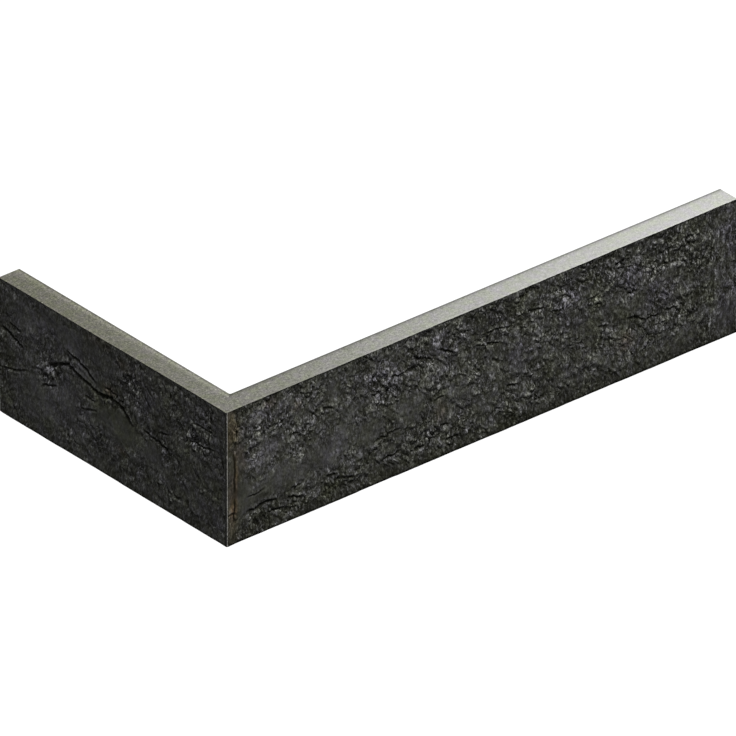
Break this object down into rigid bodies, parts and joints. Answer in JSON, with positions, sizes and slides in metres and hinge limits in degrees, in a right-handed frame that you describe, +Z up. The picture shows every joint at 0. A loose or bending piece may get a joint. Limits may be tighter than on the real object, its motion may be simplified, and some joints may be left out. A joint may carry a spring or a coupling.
{
  "type": "brick-look corner tile",
  "caption": "L-shaped facing tile that wraps an outside wall corner, with riven brick-look faces and a keyed back.",
  "frame": {"origin": "centre of the box round the tile, on the level floor that its bottom cut face stands on", "axes": "+X along the long leg away from the arris, +Y along the short leg away from the arris, +Z up; the riven faces look to -Y and -X"},
  "size_m": [0.282, 0.15, 0.065],
  "materials": {
    "fired_clay": "riven charcoal fired clay with a dull sheen; cut faces show a speckled grey body"
  },
  "bodies": {
    "root": {"corner_tile": "fired_clay"}
  },
  "joints": []
}
